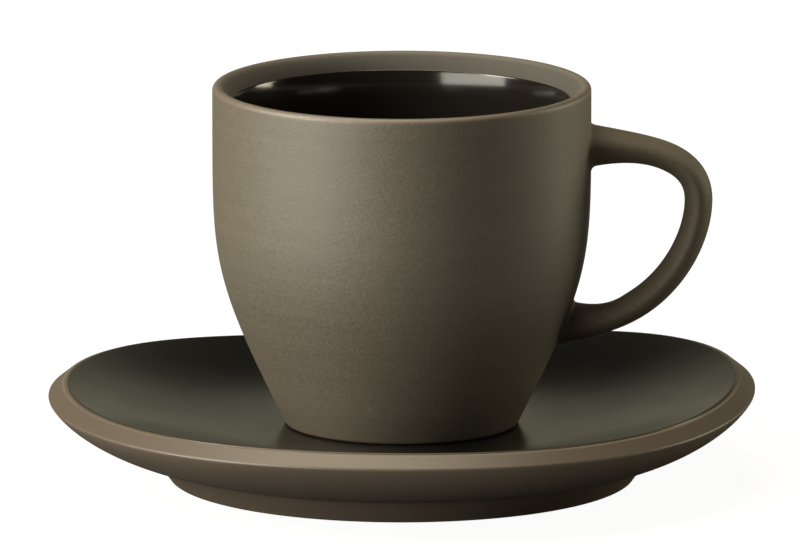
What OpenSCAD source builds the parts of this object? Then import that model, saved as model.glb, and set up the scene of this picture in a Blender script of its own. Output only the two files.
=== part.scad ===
// Espresso cup with its saucer, in stoneware. The origin is the middle of the saucer's foot on the table,
// +Z is up, +X points to the cup's handle. Lengths are in millimetres and angles in degrees.

/* [Cup] */
// Outer diameter of the cup at its lip
cup_d = 65; // [60:0.5:72]
// Height of the cup from its foot to its lip
cup_h = 59; // [54:0.5:70]
// Diameter of the flat that the cup stands on
cup_foot_d = 38.4; // [34:0.2:42]
// Lean of the lower wall out from the vertical
wall_lean = 26.4; // [22:0.2:29]
// Height of the upright band of wall below the lip
upright_band = 8; // [6:0.5:12]
// Wall thickness below the lip
cup_wall = 4.1; // [3.4:0.1:5]
// Wall thickness just above the floor
cup_low_wall = 4.2; // [3.4:0.1:5.4]
// Thickness of the floor, up from the table side of the foot
cup_floor = 5.6; // [4:0.2:8]
// Radius of the inside corner between floor and wall
floor_corner_r = 9; // [6:0.5:11]
// Radius of the lip's outer edge
lip_edge_r = 1.25; // [0.8:0.05:1.6]
// Depth over which the lip's inner side rounds into the wall
lip_fall = 7.5; // [6:0.5:10]
// Radius of the edge between foot and wall
foot_edge_r = 1.1; // [0.6:0.1:2]
// Width of the ring that the cup stands on
cup_ring_w = 3.6; // [2.5:0.1:5]
// Depth of the hollow under the cup
cup_hollow = 1.4; // [0.8:0.1:2.4]

/* [Handle] */
// Distance from the cup's axis to the middle of the strap at its bow
handle_reach = 50.9; // [46:0.2:56]
// Drop from the lip to the middle of the upper joint
handle_drop = 10.6; // [9:0.1:14]
// Drop from the upper joint to the height of the bow
bow_drop = 9.4; // [7:0.1:13]
// Height of the middle of the lower joint over the cup's foot
handle_low_h = 17.2; // [13:0.1:21]
// Thickness of the strap
strap_t = 4.8; // [4:0.1:6.5]
// Width of the strap
strap_w = 8.4; // [7:0.1:12]
// Growth of the strap's thickness at the joints
root_growth_t = 2; // [0:0.1:3]
// Growth of the strap's width at the joints
root_growth_w = 1.8; // [0:0.1:3]
// Length of strap over which it grows towards a joint
root_len = 10.5; // [6:0.5:13]

/* [Slip joints] */
// Thickness of the slip between handle and wall
slip_t = 0.5; // [0.3:0.05:0.8]
// Radius of the slip that is smoothed into the corner
slip_fillet_r = 0.9; // [0.6:0.05:1.4]

/* [Saucer] */
// Outer diameter of the saucer
saucer_d = 121.7; // [112:0.5:132]
// Mean height of the rim's crest over the table
rim_h = 15.8; // [14:0.1:19]
// Width of the bare bevel outside the crest
bevel_w = 2.74; // [1.8:0.1:4]
// Drop of the bevel from the crest to the outer edge
bevel_drop = 2.15; // [1.2:0.05:3.2]
// Height over the table of the flat that the cup stands on
seat_h = 9.4; // [8:0.1:11]
// Diameter of that flat
seat_d = 46; // [44:0.5:54]
// Slope of the dish where it meets the crest
dish_slope = 14; // [11:0.5:18]
// Outer diameter of the foot ring on the table
foot_d = 78.8; // [70:0.5:86]
// Width of the foot ring on the table
foot_w = 3.2; // [2.4:0.1:5]
// Height over the table of the underside inside the foot ring
foot_h = 3.4; // [2.6:0.1:4.2]
// Height over the table at which the foot ring's outer side meets the underside
foot_joint_h = 4.05; // [3.2:0.05:5]
// Lean of the foot ring's outer side
foot_lean = 36; // [20:1:45]
// Radius of the foot ring's lower edges
foot_round_r = 0.7; // [0.4:0.1:1]

/* [Rim wave] */
// Height that one side of the rim stands over the mean
rim_lean = 0.64; // [0:0.02:1.2]
// Direction of that high side from the handle
rim_lean_turn = -24; // [-180:1:180]
// Height of the two lobes of the rim, side against side
rim_saddle = 1.34; // [0:0.02:2]
// Direction of the first of those two lobes
rim_saddle_turn = 7; // [-90:1:90]
// Height of the three lobes of the rim
rim_lobe = 0.85; // [0:0.01:1.4]
// Direction of the first of those three lobes
rim_lobe_turn = 28; // [-60:1:60]

/* [Glaze] */
// Thickness of the cup's glossy lining
lining_t = 0.4; // [0.2:0.05:0.8]
// Depth of the lining's edge below the lip
lining_drop = 3; // [2:0.1:5]
// Thickness of the saucer's satin coat
coat_t = 0.4; // [0.2:0.05:0.8]
// Width of bare crest left outside the coat
coat_inset = 0.4; // [0.2:0.05:1]
// Length over which a coat thins towards its edge
coat_taper = 1.2; // [0.6:0.1:2]

/* [Hidden] */
// Smoothness: facets of a full turn, and of the wall that cuts the slip, steps of the curves, rings and sides
round_fn = 120;
cut_fn = 720;
wall_steps = 22;
arc_steps = 7;
foot_arc_steps = 3;
dish_steps = 9;
wave_sides = 90;
strap_rings = 17;
strap_sides = 30;
// Curve arms, as shares of the stretch that each curve spans
wall_low_arm_share = 0.548;
wall_top_arm_share = 0.445;
inner_low_arm_share = 0.465;
inner_top_arm_share = 0.382;
handle_out_arm_share = 0.65;
handle_bow_up_arm_share = 0.68;
handle_bow_down_arm_share = 0.4;
handle_in_arm_share = 0.655;
dish_low_arm_share = 0.4;
dish_rim_arm_share = 0.3;
under_rim_arm_share = 0.236;
under_foot_arm_share = 0.452;
// Slopes of the underside where it leaves the outer edge and where it meets the foot ring
under_rim_slope = 60;
under_foot_slope = 11.5;
// Exponents: oval of the strap, crowding of its rings at the joints, spread of the rim's wave
oval_power = 2.2;
ring_crowding = 1.6;
wave_power = 1.2;
// A coat's thickness at its very edge, as a share of its full thickness
coat_edge_share = 0.3;
// Rings of a slip joint, as shares of its thickness, the last ones inside the wall
slip_ring_shares = [1, 0.72, 0.46, 0.26, 0.1, -0.1, -2];

cup_r = cup_d / 2;
inner_r = cup_r - cup_wall;
cup_foot_r = cup_foot_d / 2;
cup_ring_in_r = cup_foot_r - cup_ring_w;
handle_top_h = cup_h - handle_drop;
handle_bow_h = handle_top_h - bow_drop;
saucer_r = saucer_d / 2;
crest_r = saucer_r - bevel_w;
edge_h = rim_h - bevel_drop;
seat_r = seat_d / 2;
foot_r = foot_d / 2;
foot_in_r = foot_r - foot_w;
foot_slant = tan(foot_lean);
foot_joint_r = foot_r + foot_round_r * (1 / cos(foot_lean) - foot_slant) + foot_slant * foot_joint_h;

// Curves

function mix(a, b, t) = a + (b - a) * t;

function clamp01(t) = min(1, max(0, t));

function smooth(t) = clamp01(t) * clamp01(t) * (3 - 2 * clamp01(t));

function turn_to(a) = [cos(a), sin(a)];

function bezier(p, t) =
    pow(1 - t, 3) * p[0] + 3 * pow(1 - t, 2) * t * p[1] + 3 * (1 - t) * t * t * p[2] + pow(t, 3) * p[3];

function bezier_slope(p, t) =
    pow(1 - t, 2) * (p[1] - p[0]) + 2 * (1 - t) * t * (p[2] - p[1]) + t * t * (p[3] - p[2]);

function bezier_dir(p, t) = bezier_slope(p, t) / norm(bezier_slope(p, t));

function bezier_points(p, n) = [for (i = [0:n]) bezier(p, i / n)];

// A curve pushed sideways by d, to the left of its direction
function bezier_beside(p, d, n) =
    [for (i = [0:n]) bezier(p, i / n) + d * [-bezier_dir(p, i / n).y, bezier_dir(p, i / n).x]];

function arc_points(centre, r, from, to, n) =
    [for (i = [0:n]) centre + r * turn_to(mix(from, to, i / n))];

function reversed(list) = [for (i = [len(list) - 1:-1:0]) list[i]];

// Cup: half section, radius and height over the cup's own foot

wall_dir = [sin(wall_lean), cos(wall_lean)];
wall_out = [cos(wall_lean), -sin(wall_lean)];

foot_edge_centre = [cup_foot_r, foot_edge_r];
wall_foot = foot_edge_centre + foot_edge_r * wall_out;
wall_top = [cup_r, cup_h - upright_band];
wall_rise = wall_top.y - wall_foot.y;
wall_curve = [
    wall_foot,
    wall_foot + wall_low_arm_share * wall_rise * wall_dir,
    wall_top - [0, wall_top_arm_share * wall_rise],
    wall_top
];

// The inside corner touches the floor and runs into the inner wall, which lies cup_low_wall inside the outer one
corner_base = wall_foot - (cup_low_wall + floor_corner_r) * wall_out;
corner_h = cup_floor + floor_corner_r;
corner_centre = corner_base + (corner_h - corner_base.y) / wall_dir.y * wall_dir;
inner_foot = corner_centre + floor_corner_r * wall_out;
inner_top = [inner_r, cup_h - lip_fall];
inner_rise = inner_top.y - inner_foot.y;
inner_curve = [
    inner_foot,
    inner_foot + inner_low_arm_share * inner_rise * wall_dir,
    inner_top - [0, inner_top_arm_share * inner_rise],
    inner_top
];

outer_points = concat(
    arc_points(foot_edge_centre, foot_edge_r, -90, -wall_lean, arc_steps),
    [for (i = [1:wall_steps]) bezier(wall_curve, i / wall_steps)]
);

// The lip's inner side is a quarter of an oval, and the lining starts part of the way down it
lip_crest = [cup_r - lip_edge_r, cup_h];
lip_in_w = cup_wall - lip_edge_r;
lining_turn = asin(1 - lining_drop / lip_fall);

function lip_in(a) = lip_crest + [-lip_in_w * cos(a), lip_fall * (sin(a) - 1)];

function lip_in_away(a) = [-lip_fall * cos(a), lip_in_w * sin(a)] / norm([lip_fall * cos(a), lip_in_w * sin(a)]);

lip_points = concat(
    arc_points(lip_crest - [0, lip_edge_r], lip_edge_r, 0, 90, arc_steps),
    [for (i = [1:arc_steps]) lip_in(mix(90, lining_turn, i / arc_steps))]
);
lining_seat_points = [for (i = [1:arc_steps]) lip_in(mix(lining_turn, 0, i / arc_steps))];

inner_points = concat(
    lining_seat_points,
    [for (i = [1:wall_steps]) bezier(inner_curve, 1 - i / wall_steps)],
    [for (i = [1:arc_steps]) corner_centre + floor_corner_r * turn_to(mix(-wall_lean, -90, i / arc_steps))],
    [[0, cup_floor]]
);

hollow_points = concat(
    [[0, cup_hollow]],
    reversed(arc_points([cup_ring_in_r - cup_hollow, 0], cup_hollow, 0, 90, arc_steps))
);

function lining_t_at(a) =
    lining_t * mix(coat_edge_share, 1, clamp01((lip_in(lining_turn).y - lip_in(a).y) / coat_taper));

lining_points = concat(
    [lip_in(lining_turn)],
    inner_points,
    [[0, cup_floor + lining_t]],
    arc_points(corner_centre, floor_corner_r - lining_t, -90, -wall_lean, arc_steps),
    [for (i = [1:wall_steps]) bezier_beside(inner_curve, lining_t, wall_steps)[i]],
    [for (i = [1:arc_steps])
        let (a = mix(0, lining_turn, i / arc_steps))
        lip_in(a) + lining_t_at(a) * lip_in_away(a)]
);

module cup_block() {
    rotate_extrude($fn = cut_fn)
        polygon(concat([[0, 0]], outer_points, [[cup_r, cup_h], [0, cup_h]]));
}

module cup_body() {
    color("#8f8672")
        translate([0, 0, seat_h])
            rotate_extrude($fn = round_fn)
                polygon(concat(hollow_points, outer_points, lip_points, inner_points));
}

module cup_glaze() {
    color("#1c1814")
        translate([0, 0, seat_h])
            rotate_extrude($fn = round_fn)
                polygon(lining_points);
}

// Handle: an oval strap along two curves that meet at the bow

wall_table = concat([for (p = outer_points) [p.y, p.x]], [[cup_h, cup_r]]);

function wall_r(z) = lookup(z, wall_table);

upper_root = [wall_r(handle_top_h) + slip_t, handle_top_h];
lower_root = [wall_r(handle_low_h) + slip_t, handle_low_h];
bow = [handle_reach, handle_bow_h];

upper_curve = [
    upper_root,
    upper_root + [handle_out_arm_share * (handle_reach - upper_root.x), 0],
    bow + [0, handle_bow_up_arm_share * (handle_top_h - handle_bow_h)],
    bow
];
lower_curve = [
    bow,
    bow - [0, handle_bow_down_arm_share * (handle_bow_h - handle_low_h)],
    lower_root + [handle_in_arm_share * (handle_reach - lower_root.x), 0],
    lower_root
];

// Slip smoothed into the corner: a quarter round that fades out one radius from the wall
function slip_growth(d) =
    d >= slip_fillet_r ? 0
    : d <= 0 ? slip_fillet_r
    : slip_fillet_r - sqrt(pow(slip_fillet_r, 2) - pow(slip_fillet_r - d, 2));

function root_share(d) = pow(clamp01(1 - d / root_len), 2);

function signed_pow(v, n) = sign(v) * pow(abs(v), n);

// One point of the strap's oval. Close to a joint the ring follows the round wall at distance d
function strap_point(p, dir, d, a) =
    let (
        half_t = strap_t / 2 + root_growth_t / 2 * root_share(d) + slip_growth(d),
        half_w = strap_w / 2 + root_growth_w / 2 * root_share(d) + slip_growth(d),
        out = half_t * signed_pow(cos(a), 2 / oval_power),
        y = half_w * signed_pow(sin(a), 2 / oval_power),
        x = p.x - out * dir.y,
        z = p.y + out * dir.x,
        wall_x = sqrt(pow(wall_r(z) + d, 2) - y * y)
    )
    [mix(wall_x, x, smooth((d - slip_t) / root_len)), y, z];

function strap_ring(p, dir, d) =
    [for (i = [0:strap_sides - 1]) strap_point(p, dir, d, 360 * i / strap_sides)];

upper_steps = [for (i = [0:strap_rings]) pow(i / strap_rings, ring_crowding)];
lower_steps = [for (i = [1:strap_rings]) 1 - pow(1 - i / strap_rings, ring_crowding)];

handle_rings = concat(
    [for (t = upper_steps)
        let (p = bezier(upper_curve, t))
        strap_ring(p, bezier_dir(upper_curve, t), slip_t + norm(p - upper_root))],
    [for (t = lower_steps)
        let (p = bezier(lower_curve, t))
        strap_ring(p, bezier_dir(lower_curve, t), slip_t + norm(p - lower_root))]
);

// The middle of a ring's closing cap, on the wall's own curve
function cap_point(root, d) = [wall_r(root.y) + d, 0, root.y];

// Rings of points with as many sides each, closed at both ends to a middle point. A cell between two rings is
// split along one diagonal, or along the other one for a loft that lies on another
module loft(rings, first, last, lies_on = false) {
    sides = len(rings[0]);
    count = len(rings);
    points = concat([first], [for (r = rings) each r], [last]);
    function at(i, j) = 1 + i * sides + j % sides;
    faces = concat(
        [for (j = [0:sides - 1]) [0, at(0, j), at(0, j + 1)]],
        [for (i = [0:count - 2], j = [0:sides - 1]) each [
            [at(i, j), at(i + 1, j), lies_on ? at(i, j + 1) : at(i + 1, j + 1)],
            [lies_on ? at(i + 1, j) : at(i, j), at(i + 1, j + 1), at(i, j + 1)]
        ]],
        [for (j = [0:sides - 1]) [len(points) - 1, at(count - 1, j + 1), at(count - 1, j)]]
    );
    polyhedron(points, faces, convexity = 4);
}

module cup_handle() {
    color("#857c68")
        translate([0, 0, seat_h])
            loft(handle_rings, cap_point(upper_root, slip_t), cap_point(lower_root, slip_t));
}

// Slip between a strap's end and the wall, cut off by the wall
module slip_joint(root, dir) {
    rings = [for (s = slip_ring_shares) strap_ring(root, dir, s * slip_t)];
    depth = slip_ring_shares[len(slip_ring_shares) - 1] * slip_t;
    difference() {
        loft(rings, cap_point(root, slip_t), cap_point(root, depth));
        cup_block();
    }
}

module upper_slip_joint() {
    color("#7d745f")
        translate([0, 0, seat_h])
            slip_joint(upper_root, [1, 0]);
}

module lower_slip_joint() {
    color("#7d745f")
        translate([0, 0, seat_h])
            slip_joint(lower_root, [-1, 0]);
}

// Saucer: rings of radius, height and share of the rim's wave

function rim_wave(a) =
    rim_lean * cos(a - rim_lean_turn)
    + rim_saddle * cos(2 * (a - rim_saddle_turn))
    + rim_lobe * cos(3 * (a - rim_lobe_turn));

function wave_share(r, from, to) = pow(clamp01((r - from) / (to - from)), wave_power);

coat_h = seat_h - coat_t;
dish_run = crest_r - seat_r;
dish_curve = [
    [seat_r, coat_h],
    [seat_r + dish_low_arm_share * dish_run, coat_h],
    [crest_r, rim_h] - dish_rim_arm_share * dish_run * turn_to(dish_slope),
    [crest_r, rim_h]
];
under_run = saucer_r - foot_joint_r;
under_curve = [
    [saucer_r, edge_h],
    [saucer_r, edge_h] - under_rim_arm_share * under_run * turn_to(under_rim_slope),
    [foot_joint_r, foot_joint_h] + under_foot_arm_share * under_run * turn_to(under_foot_slope),
    [foot_joint_r, foot_joint_h]
];
foot_points = concat(
    arc_points([foot_r, foot_round_r], foot_round_r, -foot_lean, -90, foot_arc_steps),
    arc_points([foot_in_r + foot_round_r, foot_round_r], foot_round_r, -90, -180, foot_arc_steps),
    [[foot_in_r, foot_h]]
);

dish_rings = [for (p = bezier_points(dish_curve, dish_steps)) [p.x, p.y, wave_share(p.x, seat_r, crest_r)]];
crest_ring = dish_rings[dish_steps];
under_rings = [
    for (p = bezier_points(under_curve, dish_steps))
    [p.x, p.y, wave_share(p.x, foot_joint_r, saucer_r)]
];
foot_rings = [for (p = foot_points) [p.x, p.y, 0]];

// The coat lies on the dish, thins towards its edge and stops short of the crest
coat_end = crest_r - coat_inset;
coat_t_edge = coat_edge_share * coat_t;

function dish_ring_at(r) =
    let (heights = [for (q = dish_rings) [q[0], q[1]]], shares = [for (q = dish_rings) [q[0], q[2]]])
    [r, lookup(r, heights), lookup(r, shares)];

coat_base_rings = concat(
    [for (q = dish_rings) if (q[0] < coat_end - coat_taper) q],
    [dish_ring_at(coat_end - coat_taper), dish_ring_at(coat_end)]
);
coat_top_rings = [
    for (i = [0:len(coat_base_rings) - 1])
    coat_base_rings[i] + [0, i < len(coat_base_rings) - 1 ? coat_t : coat_t_edge, 0]
];

function wavy_ring(q) = [
    for (j = [0:wave_sides - 1])
    let (a = -360 * j / wave_sides)
    [q[0] * cos(a), q[0] * sin(a), q[1] + q[2] * rim_wave(a)]
];

module wavy_lathe(rings, first_h, last_h, lies_on = false) {
    loft([for (q = rings) wavy_ring(q)], [0, 0, first_h], [0, 0, last_h], lies_on);
}

module saucer_body() {
    color("#6b5745")
        wavy_lathe(concat(coat_base_rings, [crest_ring], under_rings, foot_rings), coat_h, foot_h);
}

module saucer_glaze() {
    color("#2c2b24")
        wavy_lathe(concat(coat_top_rings, reversed(coat_base_rings)), seat_h, coat_h, true);
}

saucer_body();
saucer_glaze();
cup_body();
cup_glaze();
cup_handle();
upper_slip_joint();
lower_slip_joint();
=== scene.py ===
"""Espresso cup on its saucer, in stoneware: surfaces, finishes and a small studio around the
packed solids."""

import math

import bpy
import numpy as np
from bpy.props import FloatProperty, FloatVectorProperty, PointerProperty
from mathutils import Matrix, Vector


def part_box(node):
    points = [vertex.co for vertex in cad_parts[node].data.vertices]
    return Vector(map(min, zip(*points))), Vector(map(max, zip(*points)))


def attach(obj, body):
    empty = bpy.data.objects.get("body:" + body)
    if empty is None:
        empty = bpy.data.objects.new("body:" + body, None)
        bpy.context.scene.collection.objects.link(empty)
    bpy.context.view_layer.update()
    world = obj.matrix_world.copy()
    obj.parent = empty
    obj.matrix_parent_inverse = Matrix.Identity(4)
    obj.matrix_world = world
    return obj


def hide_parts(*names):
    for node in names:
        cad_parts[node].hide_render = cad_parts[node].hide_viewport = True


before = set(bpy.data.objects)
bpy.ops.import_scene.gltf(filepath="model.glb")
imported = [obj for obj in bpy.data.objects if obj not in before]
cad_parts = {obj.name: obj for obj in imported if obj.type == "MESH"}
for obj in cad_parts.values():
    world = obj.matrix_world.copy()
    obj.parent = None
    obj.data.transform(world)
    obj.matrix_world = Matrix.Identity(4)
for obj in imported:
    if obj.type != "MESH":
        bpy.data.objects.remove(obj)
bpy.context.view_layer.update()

bl_info = {
    "name": "Espresso cup and saucer",
    "version": (1, 0, 0),
    "blender": (4, 5, 0),
    "location": "3D View > Sidebar > Espresso",
    "description": "Makes a stoneware espresso cup and saucer, their finishes and a small studio",
    "category": "Add Mesh",
}

MM = 0.001
CUP_LOW, CUP_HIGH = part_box("cup_body")
_, SAUCER_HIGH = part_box("saucer_body")

# Details of the shapes that the panel doesn't offer

CUP_SIDES, SAUCER_SIDES, STRAP_SIDES, FLOOR_SIDES = 240, 300, 72, 96
SAME_SPOT = 1e-7  # distance below which two points of a profile are one
AXIS_GAP = 0.4 * MM  # radius at which a turned profile stops, before its end is closed
GLAZE_BITE = 0.04 * MM  # depth to which a glaze reaches into its clay
STRAP_POWER = 1.9  # power of the strap's superellipse
OUTER_FILLET_LOSS = 0.65  # share of the slip's fillet that is missing outside the loop
ROOT_CROWDING = 1.8  # power that crowds the strap's rings at its two ends
RIM_WAVES = ((1, 0.64, -24), (2, 1.34, 7), (3, 0.85, 28))  # lobes, height in mm, degrees
WAVE_POWER = 1.2  # power with which the wave grows towards the rim

# Details of the studio

FLOOR_RADII = (0.001, 0.3, 3.0, 12.0)
LAMP_AIM = Vector((0, 0, 35 * MM))
WARM, AMBER, CARD = (1.0, 0.955, 0.83), (1.0, 0.9, 0.68), (1.0, 0.955, 0.66)
LAMPS = (  # name, setting of its power, azimuth, elevation, distance, width and height, tint
    ("key_lamp", "key", -74, 32, 1.2, (0.5, 0.6), WARM),
    ("front_box", "box", -52, 10, 1.2, (1.05, 0.5), WARM),
    ("top_lamp", "top", -90, 81, 0.9, (0.42, 0.7), AMBER),
    ("strip_lamp", "strip", 110, 10, 0.9, (0.26, 0.52), AMBER),
    ("back_card", "back", 180, 9.5, 1.0, (1.0, 0.34), CARD),
)
SENSOR = 36.0  # width of the camera's sensor in millimetres
PHOTO_WIDTH, PHOTO_MIDDLE = 800, (400, 276.5)  # in pixels
AXIS_PIXEL = (401.8, 475.5)  # where the cup's axis meets the table in the photo
PIXEL = 0.17196 * MM  # width of one pixel at the object


# Sizes and colours that a user would change


def length(name, description, default):
    """A length in metres, shown in the scene's own unit."""
    return FloatProperty(
        name=name, description=description, default=default, min=0.0, unit="LENGTH", precision=5
    )


def angle(name, description, default):
    """An angle, given here in degrees."""
    return FloatProperty(
        name=name, description=description, default=math.radians(default), subtype="ANGLE"
    )


def share(name, description, default):
    """A plain number from 0 to 1."""
    return FloatProperty(
        name=name, description=description, default=default, min=0.0, max=1.0, subtype="FACTOR"
    )


def colour(name, description, default):
    """A linear colour."""
    return FloatVectorProperty(
        name=name, description=description, default=default, size=3, min=0.0, max=1.0,
        subtype="COLOR",
    )


def power(name, description, default):
    """The power of a lamp in watts."""
    return FloatProperty(
        name=name, description=description, default=default, min=0.0, unit="POWER"
    )


class CupSizes(bpy.types.PropertyGroup):
    """Sizes of the cup, its lining and its seat on the saucer"""

    lip_d: length("Lip diameter", "Outer diameter of the cup at its lip", 2 * CUP_HIGH.x)
    height: length("Height", "Height of the cup from foot to lip", CUP_HIGH.z - CUP_LOW.z)
    seat: length("Seat", "Height over the table at which the cup stands", CUP_LOW.z)
    foot_d: length("Foot diameter", "Diameter of the flat that the cup stands on", 38.4 * MM)
    lean: angle("Wall lean", "Lean of the lower wall out from the vertical", 26.4)
    upright: length("Upright band", "Height of the upright band of wall below the lip", 8 * MM)
    wall: length("Wall", "Wall thickness below the lip", 3.75 * MM)
    low_wall: length("Low wall", "Wall thickness just above the floor", 4.2 * MM)
    floor: length("Floor", "Thickness of the floor, from the foot's underside", 5.6 * MM)
    corner: length("Floor corner", "Radius of the inside corner of floor and wall", 9 * MM)
    lip_edge: length("Lip edge", "Radius of the lip's outer edge", 0.9 * MM)
    lip_fall: length("Lip fall", "Depth over which the lip rounds into the wall", 7.5 * MM)
    foot_edge: length("Foot edge", "Radius of the edge between foot and wall", 1.1 * MM)
    ring: length("Foot ring", "Width of the ring that the cup stands on", 3.6 * MM)
    hollow: length("Foot hollow", "Depth of the hollow under the cup", 1.4 * MM)
    lining: length("Lining", "Thickness of the glossy lining", 0.4 * MM)
    lining_drop: length("Lining drop", "Depth of the lining's edge below the lip", 2.9 * MM)


class HandleSizes(bpy.types.PropertyGroup):
    """Sizes of the strap handle and of the slip that joins it to the wall"""

    reach: length("Reach", "Distance from the cup's axis to the strap's bow", 50.9 * MM)
    drop: length("Drop", "Drop from the lip to the middle of the upper joint", 10.6 * MM)
    bow_drop: length("Bow drop", "Drop from the upper joint to the bow", 9.4 * MM)
    low: length("Lower joint", "Height of the lower joint over the cup's foot", 17.4 * MM)
    thick: length("Strap thickness", "Thickness of the strap", 4.8 * MM)
    wide: length("Strap width", "Width of the strap", 8.4 * MM)
    grow_thick: length("Root thickness", "Growth of the thickness at the joints", 2.5 * MM)
    grow_wide: length("Root width", "Growth of the width at the joints", 1.8 * MM)
    root: length("Root length", "Length over which the strap grows to a joint", 12.5 * MM)
    slip: length("Slip", "Thickness of the slip between strap and wall", 0.5 * MM)
    fillet: length("Slip fillet", "Radius of the slip smoothed into the corner", 0.9 * MM)


class SaucerSizes(bpy.types.PropertyGroup):
    """Sizes of the saucer and its coat of glaze"""

    width: length("Diameter", "Outer diameter of the saucer", 2 * SAUCER_HIGH.x)
    rim: length("Rim height", "Mean height of the rim's crest over the table", 15.8 * MM)
    bevel_w: length("Bevel width", "Width of the bare bevel outside the crest", 2.74 * MM)
    bevel_drop: length("Bevel drop", "Drop from the crest to the outer edge", 2.15 * MM)
    seat_d: length("Seat diameter", "Diameter of the flat in the dish's middle", 46 * MM)
    slope: angle("Dish slope", "Slope of the dish where it meets the crest", 14)
    foot_d: length("Foot diameter", "Outer diameter of the foot ring on the table", 78.8 * MM)
    foot_w: length("Foot width", "Width of the foot ring on the table", 3.2 * MM)
    foot_h: length("Foot height", "Height of the underside inside the foot ring", 3.4 * MM)
    joint_h: length("Foot joint", "Height of the foot ring's slanted side", 4.05 * MM)
    foot_lean: angle("Foot lean", "Lean of the foot ring's outer side", 36)
    foot_round: length("Foot rounding", "Radius of the foot ring's lower edges", 0.7 * MM)
    coat: length("Coat", "Thickness of the satin coat", 0.4 * MM)
    coat_inset: length("Coat inset", "Width of bare crest left outside the coat", 0.4 * MM)
    arris: length("Arris", "Size of the softened edges of the rim", 0.35 * MM)


class Finishes(bpy.types.PropertyGroup):
    """Colours of the clays and glazes"""

    khaki: colour("Khaki stoneware", "Colour of the cup and its handle", (0.183, 0.153, 0.104))
    inside: colour("Inner band", "Colour of the clay above the lining", (0.062, 0.052, 0.033))
    speck: colour("Specks", "Colour of the iron specks in the clay", (0.09, 0.07, 0.045))
    fleck: colour("Flecks", "Colour of the pale flecks in the clay", (0.3, 0.262, 0.195))
    # Worn, redder clay at the lip's edge and the foot's edge; at the foot it also stands for a
    # painted highlight where the rounded edge catches light.
    broken: colour("Broken edge", "Colour of the cup's worn edges", (0.225, 0.16, 0.116))
    # Lighter than the saucer's clay: paints the highlight lines along the crest and the outer edge.
    arris: colour("Saucer's arris", "Colour of the saucer's rubbed edges", (0.36, 0.3, 0.23))
    bare: colour("Bare stoneware", "Colour of the saucer's clay", (0.215, 0.168, 0.126))
    bevel: colour("Burnished bevel", "Colour of the saucer's bevel", (0.16, 0.123, 0.09))
    gloss: colour("Gloss glaze", "Colour of the cup's lining", (0.021, 0.0175, 0.015))
    satin: colour("Satin glaze", "Colour of the coat on the dish", (0.009, 0.0088, 0.007))


class Studio(bpy.types.PropertyGroup):
    """Lamps, floor and camera"""

    key: power("Key lamp", "Power of the soft lamp at the left", 8.7)
    box: power("Front box", "Power of the low wide lamp at the front left", 6.6)
    top: power("Top lamp", "Power of the soft lamp above", 3.4)
    strip: power("Strip lamp", "Power of the narrow lamp at the right", 2.15)
    back: power("Back card", "Power of the low card behind the object", 0.3)
    room: share("Room", "Grey level of the room's own light", 0.01)
    floor: share("Floor", "Share of the lamps' light that the floor gives back", 0.18)
    white: share("White", "Glow that makes the floor white to the camera", 0.945)
    lens: FloatProperty(
        name="Lens", description="Focal length in millimetres", default=1000.0, min=50.0
    )
    elevation: angle("Elevation", "Height of the camera above the table's plane", 11.7)


# Curves and surfaces


def bezier(points, t):
    """A cubic curve: its four points, weighted by the third powers and products of t and 1 - t."""
    p, t = np.asarray(points, float), np.asarray(t, float)[:, None]
    near_end = 3 * (1 - t) * t**2 * p[2] + t**3 * p[3]
    return (1 - t) ** 3 * p[0] + 3 * (1 - t) ** 2 * t * p[1] + near_end


def bezier_way(points, t):
    """Unit direction of that curve: the derivative by t, divided by its length."""
    p, t = np.asarray(points, float), np.asarray(t, float)[:, None]
    way = (1 - t) ** 2 * (p[1] - p[0]) + 2 * (1 - t) * t * (p[2] - p[1]) + t**2 * (p[3] - p[2])
    return way / np.linalg.norm(way, axis=1, keepdims=True)


def arc(centre, radius, start, end, count):
    """Points on a circle from one angle in degrees to another, both ends included."""
    a = np.radians(np.linspace(start, end, count))
    return np.asarray(centre) + radius * np.column_stack([np.cos(a), np.sin(a)])


def line(start, end, count):
    """Points evenly spread on a straight line, both ends included."""
    t = np.linspace(0, 1, count)[:, None]
    return (1 - t) * np.asarray(start, float) + t * np.asarray(end, float)


def run(profile):
    """Length along a profile up to each of its points."""
    step = np.linalg.norm(np.diff(profile, axis=0), axis=1)
    return np.concatenate([[0], np.cumsum(step)])


def chain(*parts):
    """Curves put end to end, without the points that coincide at the joins."""
    points = np.vstack(parts)
    step = np.linalg.norm(np.diff(points, axis=0), axis=1)
    return points[np.concatenate([[True], step > SAME_SPOT])]


def soften(before, after, size, count=7):
    """Two curves that meet in a corner, joined by a short parabola: both are cut back by size
    along their own length, and the corner pulls the curve between the cut ends as the middle
    point of a quadratic curve."""
    corner = after[0]
    before = before[np.linalg.norm(before - corner, axis=1) > size]
    after = after[np.linalg.norm(after - corner, axis=1) > size]
    into, out = before[-1] - corner, after[0] - corner
    start = corner + size * into / np.linalg.norm(into)
    end = corner + size * out / np.linalg.norm(out)
    t = np.linspace(0, 1, count)[:, None]
    return chain(before, (1 - t) ** 2 * start + 2 * (1 - t) * t * corner + t**2 * end, after)


def beside(profile, distance):
    """A profile pushed to the right of its direction, by a distance for each point."""
    way = np.gradient(profile, axis=0)
    way /= np.linalg.norm(way, axis=1, keepdims=True)
    return profile + np.column_stack([way[:, 1], -way[:, 0]]) * np.reshape(distance, (-1, 1))


def smooth(t):
    """The S curve 3 t t - 2 t t t between 0 and 1, level at both ends."""
    t = np.clip(t, 0, 1)
    return t * t * (3 - 2 * t)


def quarter_round(t):
    """The rise of a quarter circle from 0 to 1: the root of 1 less the square of 1 - t."""
    return np.sqrt(1 - (1 - np.clip(t, 0, 1)) ** 2)


def near(profile, spot, reach):
    """How close each point of a profile is to a spot: a bell curve of their distance over reach."""
    return np.exp(-np.sum((profile - np.asarray(spot)) ** 2, axis=1) / reach**2)


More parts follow.
